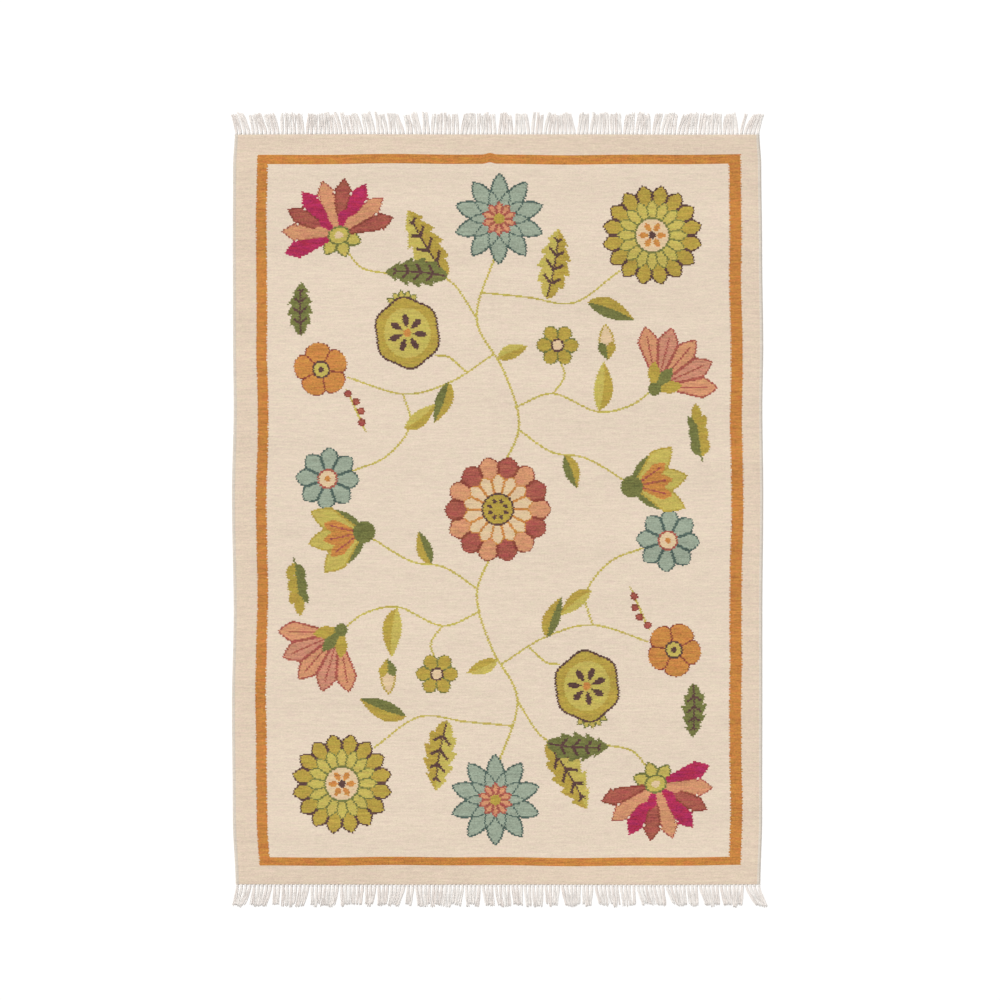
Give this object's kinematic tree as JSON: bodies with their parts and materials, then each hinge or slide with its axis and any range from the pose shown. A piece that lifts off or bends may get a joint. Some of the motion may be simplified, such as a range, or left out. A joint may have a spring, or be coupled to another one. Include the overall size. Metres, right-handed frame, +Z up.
{
  "type": "flat-woven rug",
  "caption": "Flat-woven rectangular rug lying face up, with corded woven sides, faint fold creases and a knotted strand fringe along each end.",
  "frame": {"origin": "on the floor, under the centre of the rug's bounding box", "axes": "+Z up out of the face, +Y along the rug towards the head fringe, +X across it to the right as seen from above"},
  "size_m": [1.215, 1.804, 0.0058],
  "materials": {
    "woven_cloth": null,
    "warp_fringe": "matt off-white cotton warp yarn, knotted at the cloth and loosely twisted"
  },
  "bodies": {
    "root": {"woven_cloth": "woven_cloth", "head_fringe": "warp_fringe", "foot_fringe": "warp_fringe"}
  },
  "joints": []
}
